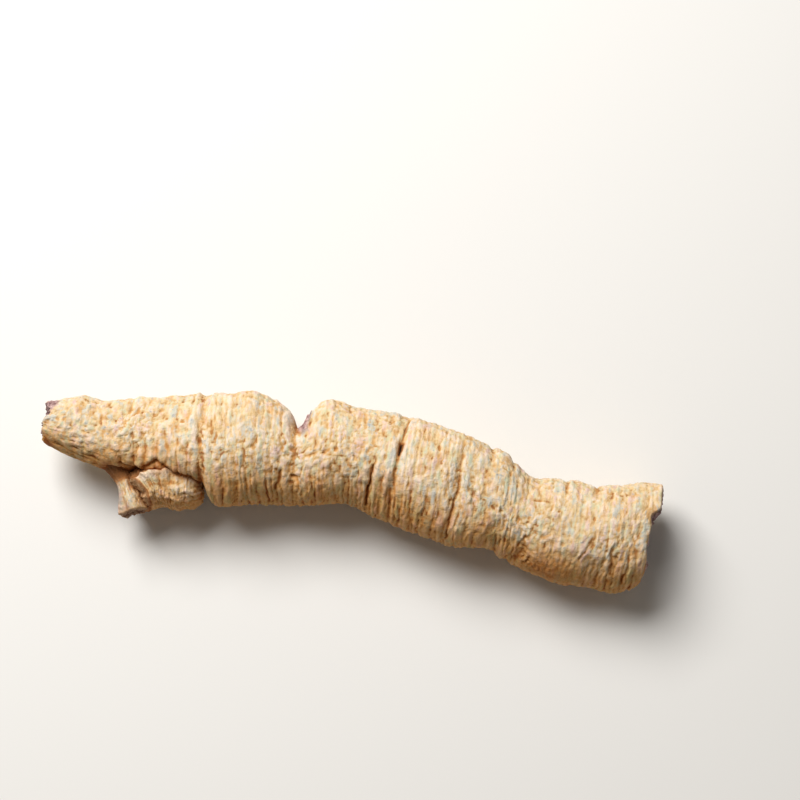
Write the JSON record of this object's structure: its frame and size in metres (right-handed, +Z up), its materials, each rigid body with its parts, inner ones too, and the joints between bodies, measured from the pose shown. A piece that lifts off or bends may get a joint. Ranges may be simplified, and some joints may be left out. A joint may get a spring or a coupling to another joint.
{
  "type": "dried morinda root",
  "caption": "Bent dried root with ring-wrinkled pale bark, a narrow broken neck, a split-off lobe, a side-root stump and a thick cut end.",
  "frame": {"origin": "on the surface that the root lies on, under the middle of its box", "axes": "+X along the root towards its thick cut end, +Y towards the side with the deep notch, +Z up from the surface"},
  "size_m": [0.1081, 0.0356, 0.0177],
  "materials": {
    "dried_bark": "dull, wrinkled, cream to peach bark with brown grooves"
  },
  "bodies": {
    "root": {"morinda_root": "dried_bark"}
  },
  "joints": []
}
